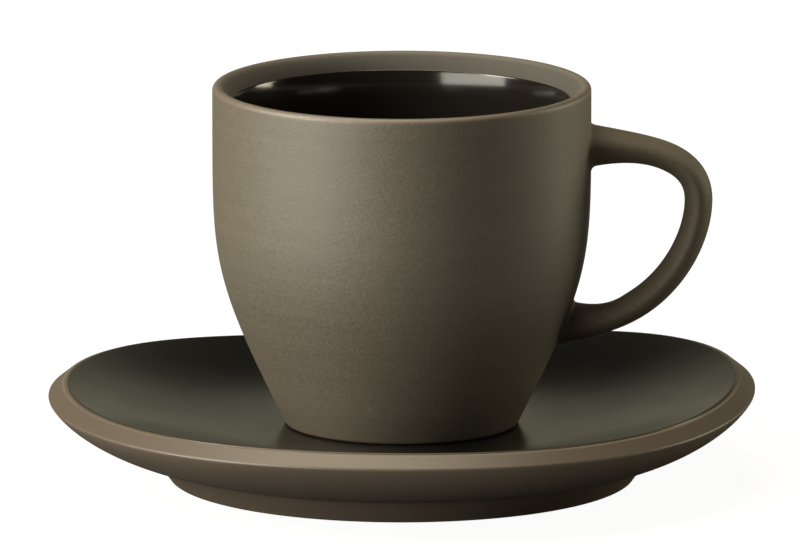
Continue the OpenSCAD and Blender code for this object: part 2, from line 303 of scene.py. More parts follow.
def turned(profile, sides, lift=0.0):
    """A profile of radius and height turned about the z axis: radius times cosine and sine, and
    the height, to which lift is added, an array of one row for each point of the profile and one
    column for each side."""
    a = np.linspace(0, 2 * math.pi, sides, endpoint=False)
    r, z = profile[:, :1], profile[:, 1:]
    return np.stack([r * np.cos(a), r * np.sin(a), z + lift + 0 * a], axis=-1)


def ring_faces(count, sides):
    """Four-sided faces between neighbouring rings: a point, the next on its ring, and the two
    beside them on the next ring."""
    i, j = np.meshgrid(np.arange(count - 1), np.arange(sides), indexing="ij")
    k = (j + 1) % sides
    here, there = i * sides, (i + 1) * sides
    return np.stack([here + j, here + k, there + k, there + j], axis=-1).reshape(-1, 4)


def put_mesh(name, points, faces):
    """An object with a mesh of points and faces, in the scene."""
    mesh = bpy.data.meshes.new(name)
    mesh.from_pydata(points.tolist(), [], faces)
    piece = bpy.data.objects.new(name, mesh)
    bpy.context.scene.collection.objects.link(piece)
    return piece


def put_skin(name, rings, masks=None):
    """A closed mesh over rings of points, an array of rings by sides by 3. Neighbouring rings are
    joined by four-sided faces, and each end is closed by triangles to the middle of its ring.
    Masks are one value for each ring or point."""
    count, sides = rings.shape[:2]
    points = np.vstack([rings.reshape(-1, 3), rings[[0, -1]].mean(axis=1)])
    j = np.arange(sides)
    k = (j + 1) % sides
    last = (count - 1) * sides
    first_cap = np.column_stack([np.full(sides, count * sides), k, j])
    last_cap = np.column_stack([np.full(sides, count * sides + 1), last + j, last + k])
    faces = ring_faces(count, sides).tolist() + first_cap.tolist() + last_cap.tolist()
    piece = put_mesh(name, points, faces)
    mesh = piece.data
    mesh.polygons.foreach_set("use_smooth", np.ones(len(mesh.polygons), bool))
    for label, values in (masks or {}).items():
        around = np.broadcast_to(np.asarray(values, float).reshape(count, -1), (count, sides))
        per_point = np.concatenate([around.ravel(), around[[0, -1]].mean(axis=1)])
        mask = mesh.attributes.new(label, "FLOAT", "POINT")
        mask.data.foreach_set("value", per_point.astype(np.float32))
    mesh.update()
    return piece


def settle(piece, material, body, slot, *nodes):
    """Gives a piece its finish, and lets it ride on a body in place of the solids that it stands
    for."""
    piece.data.materials.append(material)
    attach(piece, body)
    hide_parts(*nodes)


# Sections of the cup, as radius and height over its own foot


def wall_start(cup):
    """Where the lower wall leaves the foot's rounded edge: the edge's centre, the point itself,
    and the directions out of the wall and up along it."""
    out = np.array([math.cos(cup.lean), -math.sin(cup.lean)])
    up = np.array([math.sin(cup.lean), math.cos(cup.lean)])
    centre = np.array([cup.foot_d / 2, cup.foot_edge])
    return centre, centre + cup.foot_edge * out, out, up


def outer_wall(cup):
    """The cup's outside from the foot's edge to the lip: an arc, one cubic curve that leaves the
    foot at the wall's lean and ends upright, and the upright band."""
    centre, foot, _, up = wall_start(cup)
    top = np.array([cup.lip_d / 2, cup.height - cup.upright])
    rise = top[1] - foot[1]
    low_pull, high_pull = 0.548 * rise, 0.445 * rise
    curve = [foot, foot + low_pull * up, top - [0, high_pull], top]
    return chain(
        arc(centre, cup.foot_edge, -90, -math.degrees(cup.lean), count=12),
        bezier(curve, np.linspace(0, 1, 90)),
        line(top, [cup.lip_d / 2, cup.height - cup.lip_edge], count=14),
    )


def lip_inside(cup, a):
    """The lip's inner side: a quarter of an oval, from angle 90 at the crest to 0 where it meets
    the wall."""
    a = np.radians(a)
    crest = np.array([cup.lip_d / 2 - cup.lip_edge, cup.height])
    wide = cup.wall - cup.lip_edge
    return crest + np.column_stack([-wide * np.cos(a), cup.lip_fall * (np.sin(a) - 1)])


def inner_wall(cup):
    """The cup's inside from the lip's oval to the middle of the floor: a cubic curve, an arc and
    a straight line."""
    _, foot, out, up = wall_start(cup)
    base = foot - (cup.low_wall + cup.corner) * out
    centre = base + (cup.floor + cup.corner - base[1]) / up[1] * up
    low = centre + cup.corner * out
    top = np.array([cup.lip_d / 2 - cup.wall, cup.height - cup.lip_fall])
    rise = top[1] - low[1]
    low_pull, high_pull = 0.465 * rise, 0.382 * rise
    curve = [low, low + low_pull * up, top - [0, high_pull], top]
    return chain(
        bezier(curve, np.linspace(1, 0, 60)),
        arc(centre, cup.corner, -math.degrees(cup.lean), -90, count=24),
        line([centre[0], cup.floor], [AXIS_GAP, cup.floor], count=10),
    )


def lining_turn(cup):
    """Angle on the lip's oval at which the lining starts."""
    return math.degrees(math.asin(1 - cup.lining_drop / cup.lip_fall))


# The strap handle


def strap_rings(cup, handle, middle, way, off):
    """Rings of an oval strap. Each ring lies about a middle point, square to a direction, in the
    plane of x and z, and its oval is a superellipse. The strap grows towards the wall by the
    square of what is left of the root, and inside the slip's radius by a quarter round, of which
    a third is left on the outer side of the loop. Close to the wall a ring's x goes over to the
    wall's own round surface at the distance off, so that the ring lies on it."""
    wall = outer_wall(cup)
    a = np.linspace(0, 2 * math.pi, STRAP_SIDES, endpoint=False)
    cos, sin = np.cos(a), np.sin(a)
    off = np.reshape(off, (-1, 1))
    left = np.clip(1 - off / handle.root, 0, 1) ** 2
    inside = np.clip(handle.fillet - off, 0, handle.fillet)
    slip = handle.fillet - np.sqrt(handle.fillet**2 - inside**2)
    slip = slip * (1 - OUTER_FILLET_LOSS * np.clip(cos, 0, 1))
    thick = handle.thick / 2 + handle.grow_thick / 2 * left + slip
    wide = handle.wide / 2 + handle.grow_wide / 2 * left + slip
    across = thick * np.sign(cos) * np.abs(cos) ** (2 / STRAP_POWER)
    y = wide * np.sign(sin) * np.abs(sin) ** (2 / STRAP_POWER)
    x = middle[:, :1] - across * way[:, 1:]
    z = middle[:, 1:] + across * way[:, :1]
    on_wall = np.sqrt((np.interp(z, wall[:, 1], wall[:, 0]) + off) ** 2 - y**2)
    share_free = smooth((off - handle.slip) / handle.root)
    return np.stack([on_wall + (x - on_wall) * share_free, y, z + cup.seat], axis=-1)


def strap_roots(cup, handle):
    """Middles of the strap's two ends, and its bow."""
    wall = outer_wall(cup)
    top, low = cup.height - handle.drop, handle.low
    upper = np.array([np.interp(top, wall[:, 1], wall[:, 0]) + handle.slip, top])
    lower = np.array([np.interp(low, wall[:, 1], wall[:, 0]) + handle.slip, low])
    return upper, lower, np.array([handle.reach, top - handle.bow_drop])


def strap_path(cup, handle):
    """The strap's middle line: two cubic curves that leave the wall level and meet upright at the
    bow. Gives the points, the directions, and each point's distance from the wall along the
    nearer end."""
    upper, lower, bow = strap_roots(cup, handle)
    upper_out, upper_rise = 0.65 * (bow[0] - upper[0]), 0.68 * (upper[1] - bow[1])
    lower_out, lower_fall = 0.655 * (bow[0] - lower[0]), 0.4 * (bow[1] - lower[1])
    first = [upper, upper + [upper_out, 0], bow + [0, upper_rise], bow]
    second = [bow, bow - [0, lower_fall], lower + [lower_out, 0], lower]
    t_first = np.linspace(0, 1, 70) ** ROOT_CROWDING
    t_second = 1 - (1 - np.linspace(0, 1, 90)[1:]) ** ROOT_CROWDING
    middle = np.vstack([bezier(first, t_first), bezier(second, t_second)])
    way = np.vstack([bezier_way(first, t_first), bezier_way(second, t_second)])
    to_upper, to_lower = (np.linalg.norm(middle - root, axis=1) for root in (upper, lower))
    return middle, way, handle.slip + np.minimum(to_upper, to_lower)


# Sections of the saucer


def rim_wave(a):
    """Height of the rim over its mean: a lean, two lobes and three lobes, each a cosine of the
    angle from the handle."""
    return MM * sum(
        height * np.cos(lobes * (a - math.radians(crest))) for lobes, height, crest in RIM_WAVES
    )


def wave_lift(profile, start, end):
    """What the wave adds to each point: its height times a power of the share of the way from
    start to end."""
    a = np.linspace(0, 2 * math.pi, SAUCER_SIDES, endpoint=False)
    part = np.clip((profile[:, 0] - start) / (end - start), 0, 1) ** WAVE_POWER
    return part[:, None] * rim_wave(a)


def crest_radius(saucer):
    """Radius of the crest, where dish and bevel meet."""
    return saucer.width / 2 - saucer.bevel_w


def dish_curve(cup, saucer):
    """The dish under its coat, from the middle to the crest: the level seat, and one cubic curve
    that leaves it level."""
    seat, crest = saucer.seat_d / 2, crest_radius(saucer)
    floor = cup.seat - saucer.coat
    away = np.array([math.cos(saucer.slope), math.sin(saucer.slope)])
    seat_pull, crest_pull = 0.4 * (crest - seat), 0.3 * (crest - seat)
    top = np.array([crest, saucer.rim])
    curve = [[seat, floor], [seat + seat_pull, floor], top - crest_pull * away, top]
    return chain(
        line([AXIS_GAP, floor], [seat, floor], count=12), bezier(curve, np.linspace(0, 1, 60))
    )


def foot_joint(saucer):
    """Radius at which the foot ring's slanted side, tangent to its rounded lower edge, meets the
    underside."""
    slant = math.tan(saucer.foot_lean)
    tangent = saucer.foot_round * (1 / math.cos(saucer.foot_lean) - slant)
    return saucer.foot_d / 2 + tangent + slant * saucer.joint_h


def foot_side_end(saucer):
    """Where the foot ring's slanted side runs into its rounded lower edge."""
    lean = saucer.foot_lean
    centre = np.array([saucer.foot_d / 2, saucer.foot_round])
    return centre + saucer.foot_round * np.array([math.cos(lean), -math.sin(lean)])


def under_curve(saucer):
    """The underside from the outer edge to the foot ring: one cubic curve, steep at the edge."""
    edge = np.array([saucer.width / 2, saucer.rim - saucer.bevel_drop])
    joint = np.array([foot_joint(saucer), saucer.joint_h])
    stretch = edge[0] - joint[0]
    edge_pull, joint_pull = 0.236 * stretch, 0.452 * stretch
    steep, flat = math.radians(60), math.radians(11.5)
    curve = [
        edge,
        edge - edge_pull * np.array([math.cos(steep), math.sin(steep)]),
        joint + joint_pull * np.array([math.cos(flat), math.sin(flat)]),
        joint,
    ]
    return bezier(curve, np.linspace(0, 1, 50))


# Nodes


def add(tree, kind, links=None, **settings):
    """A node with its settings. Keys of links are input names or numbers, and values are plain
    values or other outputs."""
    made = tree.nodes.new(kind)
    for key, value in settings.items():
        setattr(made, key, value)
    for key, value in (links or {}).items():
        if isinstance(value, bpy.types.NodeSocket):
            tree.links.new(value, made.inputs[key])
        else:
            made.inputs[key].default_value = value
    return made


def mix(tree, kind, fac, a, b):
    """Output of a Mix node for colours or floats, which have their own numbers for the two ends
    and the result."""
    first, second, result = {"RGBA": (6, 7, 2), "FLOAT": (2, 3, 0)}[kind]
    made = add(tree, "ShaderNodeMix", {0: fac, first: a, second: b}, data_type=kind)
    return made.outputs[result]


def ramp(tree, value, low, high, to_low=0.0, to_high=1.0):
    """Output of a Map Range node with soft ends."""
    ends = {0: value, 1: low, 2: high, 3: to_low, 4: to_high}
    return add(tree, "ShaderNodeMapRange", ends, interpolation_type="SMOOTHSTEP").outputs[0]


def swing(tree, value, reach):
    """A noise's middle range, spread out from -reach to reach."""
    return ramp(tree, value, 0.3, 0.7, -reach, reach)


def maths(tree, operation, *values):
    """Output of a Math node."""
    return add(tree, "ShaderNodeMath", dict(enumerate(values)), operation=operation).outputs[0]


def noise(tree, vector, scale, detail, roughness=0.5):
    """Output of a Noise Texture node, between 0 and 1."""
    values = {"Vector": vector, "Scale": scale, "Detail": detail, "Roughness": roughness}
    return add(tree, "ShaderNodeTexNoise", values).outputs[0]


def mask_of(tree, name):
    """A mask that the piece's mesh carries."""
    return add(tree, "ShaderNodeAttribute", attribute_name=name).outputs["Fac"]


def object_place(tree):
    """The place of a point in its object's own coordinates."""
    return add(tree, "ShaderNodeTexCoord").outputs["Object"]


def opaque(rgb):
    """A colour with full alpha."""
    return (*rgb, 1.0)


# Effects that finishes share

COLOUR, VALUE = "NodeSocketColor", "NodeSocketFloat"


def new_group(name, inputs, outputs):
    """An empty shader node group: its tree, its inputs and its outputs, each a name and a kind."""
    tree = bpy.data.node_groups.new(name, "ShaderNodeTree")
    for way, sockets in (("INPUT", inputs), ("OUTPUT", outputs)):
        for label, kind in sockets.items():
            tree.interface.new_socket(name=label, in_out=way, socket_type=kind)
    start, end = tree.nodes.new("NodeGroupInput"), tree.nodes.new("NodeGroupOutput")
    return tree, start.outputs, end.inputs


def clay_group(name):
    """Fired clay: one factor on the colour from a slow cloud, a fine grain and the faint level
    rings of turning, then small dark specks and pale flecks, each the middle of a random cell.
    Puts out colour, roughness and height."""
    colours = dict.fromkeys(("Colour", "Speck colour", "Fleck colour"), COLOUR)
    values = dict.fromkeys(("Specks", "Grain", "Rings", "Roughness"), VALUE)
    results = {"Colour": COLOUR, "Roughness": VALUE, "Height": VALUE}
    tree, given, out = new_group(name, {**colours, **values}, results)
    here = object_place(tree)
    cloud = noise(tree, here, scale=60.0, detail=3.0, roughness=0.6)
    grain = noise(tree, here, scale=2300.0, detail=3.0, roughness=0.6)
    ring_scale = (9.0, 9.0, 800.0)
    flat = add(tree, "ShaderNodeMapping", {"Vector": here, "Scale": ring_scale}).outputs[0]
    rings = noise(tree, flat, scale=1.0, detail=2.0, roughness=0.6)

    cloudiness = 0.22
    factor = maths(tree, "MULTIPLY_ADD", cloud, cloudiness, 1 - cloudiness / 2)
    relief = []
    for pattern, amount in ((grain, given["Grain"]), (rings, given["Rings"])):
        middled = maths(tree, "SUBTRACT", pattern, 0.5)
        factor = maths(tree, "ADD", factor, maths(tree, "MULTIPLY", middled, amount))
        relief.append(maths(tree, "MULTIPLY", pattern, amount))
    scaled = {0: given["Colour"], "Scale": factor}
    toned = add(tree, "ShaderNodeVectorMath", scaled, operation="SCALE").outputs[0]

    cells = add(tree, "ShaderNodeTexVoronoi", {"Vector": here, "Scale": 2000.0, "Randomness": 1.0})
    kinds = add(tree, "ShaderNodeSeparateColor", {0: cells.outputs["Color"]})
    rare, largest, border = 0.8, 0.34, 0.16
    for kind, mark in enumerate((given["Speck colour"], given["Fleck colour"])):
        size = ramp(tree, kinds.outputs[kind], rare, 1.0, 0.0, largest)
        depth = maths(tree, "SUBTRACT", size, cells.outputs["Distance"])
        spot = maths(tree, "MULTIPLY", ramp(tree, depth, 0.0, border), given["Specks"])
        toned = mix(tree, "RGBA", spot, toned, mark)

    rough = maths(tree, "ADD", given["Roughness"], swing(tree, grain, reach=0.05))
    tree.links.new(toned, out["Colour"])
    tree.links.new(rough, out["Roughness"])
    tree.links.new(maths(tree, "ADD", *relief), out["Height"])
    return tree


def edge_group(name):
    """An edge of another colour where a mask is high, with an uneven border: worn clay on the cup,
    lighter at its foot as a painted highlight, and a painted highlight along the saucer's crest and
    outer edge.
    """
    inputs = {"Colour": COLOUR, "Edge colour": COLOUR, "Mask": VALUE, "Strength": VALUE}
    tree, given, out = new_group(name, inputs, {"Colour": COLOUR})
    ragged = noise(tree, object_place(tree), scale=420.0, detail=3.0)
    uneven = maths(tree, "ADD", given["Mask"], swing(tree, ragged, reach=0.12))
    worn = maths(tree, "MULTIPLY", ramp(tree, uneven, 0.35, 0.95), given["Strength"])
    tree.links.new(mix(tree, "RGBA", worn, given["Colour"], given["Edge colour"]), out["Colour"])
    return tree


def glaze_group(name):
    """A melted glaze: a slow ripple, pin-sized dimples and a tone that thins out to the clay's
    brown at its edge."""
    colours = dict.fromkeys(("Colour", "Thin colour"), COLOUR)
    values = dict.fromkeys(("Edge mask", "Roughness", "Mottle"), VALUE)
    results = {"Colour": COLOUR, "Roughness": VALUE, "Height": VALUE}
    tree, given, out = new_group(name, {**colours, **values}, results)
    here = object_place(tree)
    slow = noise(tree, here, scale=130.0, detail=2.0)
    fine = noise(tree, here, scale=1300.0, detail=2.0)
    mottled = maths(tree, "MULTIPLY", ramp(tree, fine, 0.3, 0.75), given["Mottle"])
    tone = mix(tree, "RGBA", mottled, given["Colour"], given["Thin colour"])
    thin = ramp(tree, given["Edge mask"], 0.3, 1.0, 0.0, 0.8)
    wobble = maths(tree, "MULTIPLY", swing(tree, slow, reach=0.06), given["Roughness"])
    dimples = maths(tree, "MULTIPLY", fine, given["Mottle"])
    tree.links.new(mix(tree, "RGBA", thin, tone, given["Thin colour"]), out["Colour"])
    tree.links.new(maths(tree, "ADD", given["Roughness"], wobble), out["Roughness"])
    tree.links.new(maths(tree, "ADD", slow, dimples), out["Height"])
    return tree


GROUPS = {"Fired clay": clay_group, "Broken edge": edge_group, "Melted glaze": glaze_group}


def add_group(tree, name, links):
    """A shared node group, which is built at its first use, with this material's own values."""
    shared = bpy.data.node_groups.get(name) or GROUPS[name](name)
    return add(tree, "ShaderNodeGroup", links, node_tree=shared).outputs


# Finishes

CLAY_RELIEF, GLAZE_RELIEF = 0.6, 0.5  # strength of the bump


def new_material(name, specular, index, build):
    """A material that is made once: a Principled BSDF, whose specular level and index of
    refraction are one value all over. Build adds the rest of the nodes, and gives the colour, the
    roughness, the height of the relief, its strength and its depth."""
    found = bpy.data.materials.get(name)
    if found:
        return found
    made = bpy.data.materials.new(name)
    made.use_nodes = True
    tree = made.node_tree
    shader = tree.nodes["Principled BSDF"].inputs
    shader["Specular IOR Level"].default_value = specular
    shader["IOR"].default_value = index
    tone, rough, height, strength, depth = build(tree)
    relief = add(
        tree, "ShaderNodeBump", {"Height": height, "Strength": strength, "Distance": depth}
    )
    tree.links.new(tone, shader["Base Color"])
    tree.links.new(rough, shader["Roughness"])
    tree.links.new(relief.outputs[0], shader["Normal"])
    return made


def clay_material(
    name, rgb, finishes, *,
    specks, grain, rings, rough, specular, index, depth, edge=None, band=None,
):
    """A clay finish: the shared clay group, another colour and roughness where the piece carries a
    band mask, and an edge colour where it carries an arris mask. On the cup that edge is worn clay,
    also a painted highlight at the foot; on the saucer it is a painted highlight along the crest
    and the outer edge. Band is a colour and a roughness, and edge is a colour and a strength."""

    def build(tree):
        clay = add_group(tree, "Fired clay", {
            "Colour": opaque(rgb), "Speck colour": opaque(finishes.speck),
            "Fleck colour": opaque(finishes.fleck), "Specks": specks, "Grain": grain,
            "Rings": rings, "Roughness": rough,
        })
        tone, matte = clay["Colour"], clay["Roughness"]
        if band:
            within = mask_of(tree, "band")
            tone = mix(tree, "RGBA", within, tone, opaque(band[0]))
            matte = mix(tree, "FLOAT", within, matte, band[1])
        if edge:
            tone = add_group(tree, "Broken edge", {
                "Colour": tone, "Edge colour": opaque(edge[0]), "Mask": mask_of(tree, "arris"),
                "Strength": edge[1],
            })["Colour"]
        return tone, matte, clay["Height"], CLAY_RELIEF, depth

    return new_material(name, specular, index, build)


def glaze_material(name, rgb, thin, *, rough, mottle, specular, index, depth):
    """A glaze finish: the shared glaze group, thinner along the edge that the piece's mask
    marks."""

    def build(tree):
        glaze = add_group(tree, "Melted glaze", {
            "Colour": opaque(rgb), "Thin colour": opaque(thin), "Roughness": rough,
            "Mottle": mottle, "Edge mask": mask_of(tree, "edge"),
        })
        return glaze["Colour"], glaze["Roughness"], glaze["Height"], GLAZE_RELIEF, depth

    return new_material(name, specular, index, build)


def khaki_stoneware(finishes):
    """The cup's matte clay, with worn edges, the foot's edge also painted lighter as a highlight,
    and a darker, duller band inside the lip.
    """
    return clay_material(
        "matte khaki", finishes.khaki, finishes,
        specks=0.6, grain=0.95, rings=0.26, rough=0.56, specular=1.0, index=1.85, depth=0.05 * MM,
        edge=(finishes.broken, 0.6), band=(finishes.inside, 0.88),
    )


def sponged_stoneware(finishes):
    """The strap handle: the cup's clay, wiped with a sponge, so rougher and without rings."""
    return clay_material(
        "sponged khaki", finishes.khaki, finishes,
        specks=0.5, grain=0.9, rings=0.0, rough=0.68, specular=0.9, index=1.65, depth=0.05 * MM,
    )


def joint_slip(finishes):
    """The smoothed slip at the handle's ends: the same clay, with less grain."""
    return clay_material(
        "smoothed slip", finishes.khaki, finishes,
        specks=0.5, grain=0.8, rings=0.0, rough=0.68, specular=0.9, index=1.65, depth=0.04 * MM,
    )


def bare_stoneware(finishes):
    """The saucer's bare, smoothed clay, with a lighter colour painted along its crest and outer
    edge as a highlight, and a burnished bevel.
    """
    return clay_material(
        "bare clay", finishes.bare, finishes,
        specks=0.25, grain=0.5, rings=0.16, rough=0.48, specular=1.0, index=1.6, depth=0.04 * MM,
        # The edge colour is a painted highlight along the crest and the outer edge.
        edge=(finishes.arris, 0.3), band=(finishes.bevel, 0.46),
    )


def gloss_glaze(finishes):
    """The cup's glossy lining."""
    return glaze_material(
        "gloss lining", finishes.gloss, finishes.inside,
        rough=0.14, mottle=0.0, specular=1.0, index=1.5, depth=0.001 * MM,
    )


def satin_glaze(finishes):
    """The satin coat on the saucer's dish."""
    return glaze_material(
        "satin coat", finishes.satin, finishes.bare,
        rough=0.21, mottle=0.01, specular=0.5, index=1.5, depth=0.001 * MM,
    )


# The studio


def away_from(azimuth, elevation):
    """Unit direction from the object, by angles. Azimuth 0 is towards the camera, and negative is
    to its left."""
    level = math.cos(elevation)
    return Vector((math.sin(azimuth) * level, -math.cos(azimuth) * level, math.sin(elevation)))


def put_facing(name, data, place, aim):
    """A lamp or camera at a place, turned towards another."""
    made = bpy.data.objects.new(name, data)
    made.location = place
    made.rotation_euler = (aim - made.location).to_track_quat("-Z", "Y").to_euler()
    bpy.context.scene.collection.objects.link(made)
    return made


def add_lamp(name, watts, azimuth, elevation, distance, size, tint):
    """A soft rectangular lamp that faces the object and that the camera doesn't see. Its angles
    are in degrees."""
    data = bpy.data.lights.new(name, "AREA")
    data.shape, data.size, data.size_y = "RECTANGLE", *size
    data.energy, data.color = watts, tint
    away = away_from(math.radians(azimuth), math.radians(elevation))
    put_facing(name, data, LAMP_AIM + distance * away, LAMP_AIM).visible_camera = False


def add_camera(studio):
    """A camera so far away that a pixel is as wide at the object as in the photo, and aimed so
    that the cup's axis meets the table at the photo's own pixel."""
    data = bpy.data.cameras.new("camera")
    data.lens, data.sensor_width = studio.lens, SENSOR
    distance = studio.lens / SENSOR * PHOTO_WIDTH * PIXEL
    e = studio.elevation
    right, up = Vector((1, 0, 0)), Vector((0, math.sin(e), math.cos(e)))
    aim_right = (PHOTO_MIDDLE[0] - AXIS_PIXEL[0]) * PIXEL
    aim_up = (AXIS_PIXEL[1] - PHOTO_MIDDLE[1]) * PIXEL
    aim = aim_right * right + aim_up * up
    bpy.context.scene.camera = put_facing("camera", data, distance * away_from(0, e), aim)


def floor_material(studio):
    """A pale floor that keeps its shadow, is white to the camera and is seen through from
    below."""
    made = bpy.data.materials.new("pale_floor")
    made.use_nodes = True
    tree = made.node_tree
    tree.nodes.clear()
    seen = add(tree, "ShaderNodeLightPath").outputs["Is Camera Ray"]
    white = maths(tree, "MULTIPLY", seen, studio.white)
    glow = add(tree, "ShaderNodeEmission", {"Color": (1, 1, 1, 1), "Strength": white})
    matte = add(tree, "ShaderNodeBsdfDiffuse", {"Color": opaque([studio.floor] * 3)})
    lit = add(tree, "ShaderNodeAddShader", {0: glow.outputs[0], 1: matte.outputs[0]})
    clear = add(tree, "ShaderNodeBsdfTransparent")
    below = add(tree, "ShaderNodeNewGeometry").outputs["Backfacing"]
    both = add(tree, "ShaderNodeMixShader", {0: below, 1: lit.outputs[0], 2: clear.outputs[0]})
    add(tree, "ShaderNodeOutputMaterial", {"Surface": both.outputs[0]})
    return made


# Operators


class ESPRESSO_OT_throw_cup(bpy.types.Operator):
    """Turn the cup's stoneware body"""

    bl_idname = "espresso.throw_cup"
    bl_label = "Throw the cup"

    def execute(self, context):
        cup = context.scene.espresso_cup
        lip_r, foot_r = cup.lip_d / 2, cup.foot_d / 2
        ring_in = foot_r - cup.ring
        ring_edge = 0.4 * MM
        under = chain(
            line([AXIS_GAP, cup.hollow], [ring_in - cup.hollow, cup.hollow], count=8),
            arc([ring_in - cup.hollow, 0], cup.hollow, 90, 20, count=8),
            arc([ring_in + ring_edge, ring_edge], ring_edge, 180, 270, count=6),
            line([ring_in + ring_edge, 0], [foot_r, 0], count=4),
        )
        edge_centre = [lip_r - cup.lip_edge, cup.height - cup.lip_edge]
        lip = chain(
            arc(edge_centre, cup.lip_edge, 0, 90, count=14),
            lip_inside(cup, np.linspace(90, 0, 40)),
        )
        profile = chain(under, outer_wall(cup), lip, inner_wall(cup))

        # Worn clay at the lip and at the foot; the foot's lighter edge is also a painted highlight.
        lip_spot = [lip_r - 0.25 * cup.lip_edge, cup.height - 0.5 * cup.lip_edge]
        foot_spot = [foot_r + 0.8 * cup.foot_edge, 0.4 * cup.foot_edge]
        worn_lip = near(profile, lip_spot, reach=0.8 * MM)
        foot_wear_and_highlight = near(profile, foot_spot, reach=0.9 * MM)
        past_crest = np.clip(lip_r - cup.lip_edge - profile[:, 0], 0, None)
        past_crest = past_crest * (profile[:, 1] > cup.height / 2)
        band_start, band_border = 0.1 * MM, 1.2 * MM
        band = smooth((past_crest - band_start) / band_border)

        rings = turned(profile + [0, cup.seat], CUP_SIDES)
        masks = {"arris": np.maximum(worn_lip, foot_wear_and_highlight), "band": band}
        piece = put_skin("cup_wall", rings, masks)
        finish = khaki_stoneware(context.scene.espresso_finishes)
        settle(piece, finish, "cup", "khaki_stoneware", "cup_body")
        return {"FINISHED"}


class ESPRESSO_OT_line_cup(bpy.types.Operator):
    """Line the cup with its glossy glaze"""

    bl_idname = "espresso.line_cup"
    bl_label = "Line the cup"

    def execute(self, context):
        cup = context.scene.espresso_cup
        fine_end = 0.95
        down = np.concatenate([np.linspace(1, fine_end, 14), np.linspace(fine_end, 0, 60)[1:]])
        clay = chain(lip_inside(cup, lining_turn(cup) * down), inner_wall(cup))
        along = run(clay)
        edge_run, thin_run, thin_share = 0.25 * MM, 12 * MM, 0.4
        body = thin_share + (1 - thin_share) * smooth(along / thin_run)
        skin = beside(clay, cup.lining * quarter_round(along / edge_run) * body)
        back = beside(clay, -GLAZE_BITE)
        skin[-1, 0] = back[-1, 0] = clay[-1, 0]
        profile = chain(back[::-1], skin)
        rings = turned(profile + [0, cup.seat], CUP_SIDES)
        piece = put_skin("cup_lining", rings, {"edge": near(profile, clay[0], reach=0.2 * MM)})
        finish = gloss_glaze(context.scene.espresso_finishes)
        settle(piece, finish, "cup", "gloss_glaze", "cup_glaze")
        return {"FINISHED"}


class ESPRESSO_OT_pull_handle(bpy.types.Operator):
    """Pull the strap handle"""

    bl_idname = "espresso.pull_handle"
    bl_label = "Pull the handle"

    def execute(self, context):
        cup, handle = context.scene.espresso_cup, context.scene.espresso_handle
        piece = put_skin("handle_strap", strap_rings(cup, handle, *strap_path(cup, handle)))
        finish = sponged_stoneware(context.scene.espresso_finishes)
        settle(piece, finish, "cup", "khaki_stoneware", "cup_handle")
        return {"FINISHED"}


class ESPRESSO_OT_join_handle(bpy.types.Operator):
    """Smooth the slip into the corners at the handle's two ends"""

    bl_idname = "espresso.join_handle"
    bl_label = "Join the handle"

    def execute(self, context):
        cup, handle = context.scene.espresso_cup, context.scene.espresso_handle
        upper, lower, _ = strap_roots(cup, handle)
        into_wall = 0.3 * MM
        off = np.concatenate([handle.slip * np.linspace(1, 0, 16) ** 2, [-into_wall]])
        many = np.ones((len(off), 1))
        finish = joint_slip(context.scene.espresso_finishes)
        for name, root, way in (("upper_slip", upper, 1), ("lower_slip", lower, -1)):
            rings = strap_rings(cup, handle, root * many, np.array([way, 0.0]) * many, off)
            piece = put_skin(f"handle_{name}", rings[::-way])
            settle(piece, finish, "cup", "joint_slip", f"{name}_joint")
        return {"FINISHED"}


class ESPRESSO_OT_throw_saucer(bpy.types.Operator):
    """Turn the saucer's stoneware body"""

    bl_idname = "espresso.throw_saucer"
    bl_label = "Throw the saucer"

    def execute(self, context):
        cup, saucer = context.scene.espresso_cup, context.scene.espresso_saucer
        outer, crest, joint = saucer.width / 2, crest_radius(saucer), foot_joint(saucer)
        foot, low = saucer.foot_d / 2, saucer.foot_round
        foot_in = foot - saucer.foot_w
        crest_spot = [crest, saucer.rim]
        edge_spot = [outer, saucer.rim - saucer.bevel_drop]
        bevel = line(crest_spot, edge_spot, count=14)
        side = chain(
            line([joint, saucer.joint_h], foot_side_end(saucer), count=10),
            arc([foot, low], low, -math.degrees(saucer.foot_lean), -90, count=8),
            arc([foot_in + low, low], low, -90, -180, count=8),
            line([foot_in, low], [foot_in, saucer.foot_h], count=6),
        )
        inside = line([foot_in, saucer.foot_h], [AXIS_GAP, saucer.foot_h], count=20)
        profile = soften(dish_curve(cup, saucer), bevel, size=saucer.arris)
        profile = soften(profile, under_curve(saucer), size=1.2 * saucer.arris)
        profile = soften(profile, side, size=0.2 * MM)
        profile = soften(profile, inside, size=0.6 * MM)

        is_top = np.arange(len(profile)) <= np.argmax(profile[:, 0])
        lift = np.where(
            is_top[:, None],
            wave_lift(profile, saucer.seat_d / 2, crest),
            wave_lift(profile, joint, outer),
        )
        # Masks for a lighter colour painted along the crest and the outer edge: a painted
        # highlight.
        painted_crest_highlight = near(profile, crest_spot, reach=0.4 * MM)
        painted_edge_highlight = near(profile, edge_spot, reach=0.3 * MM)
        painted_highlight = np.maximum(painted_crest_highlight, painted_edge_highlight)
        band_border = 0.4 * MM
        band = smooth((profile[:, 0] - crest) / band_border) * is_top
        rings = turned(profile, SAUCER_SIDES, lift)[::-1]
        piece = put_skin("saucer_clay", rings, {"arris": painted_highlight[::-1], "band": band[::-1]})
        finish = bare_stoneware(context.scene.espresso_finishes)
        settle(piece, finish, "saucer", "bare_stoneware", "saucer_body")
        return {"FINISHED"}


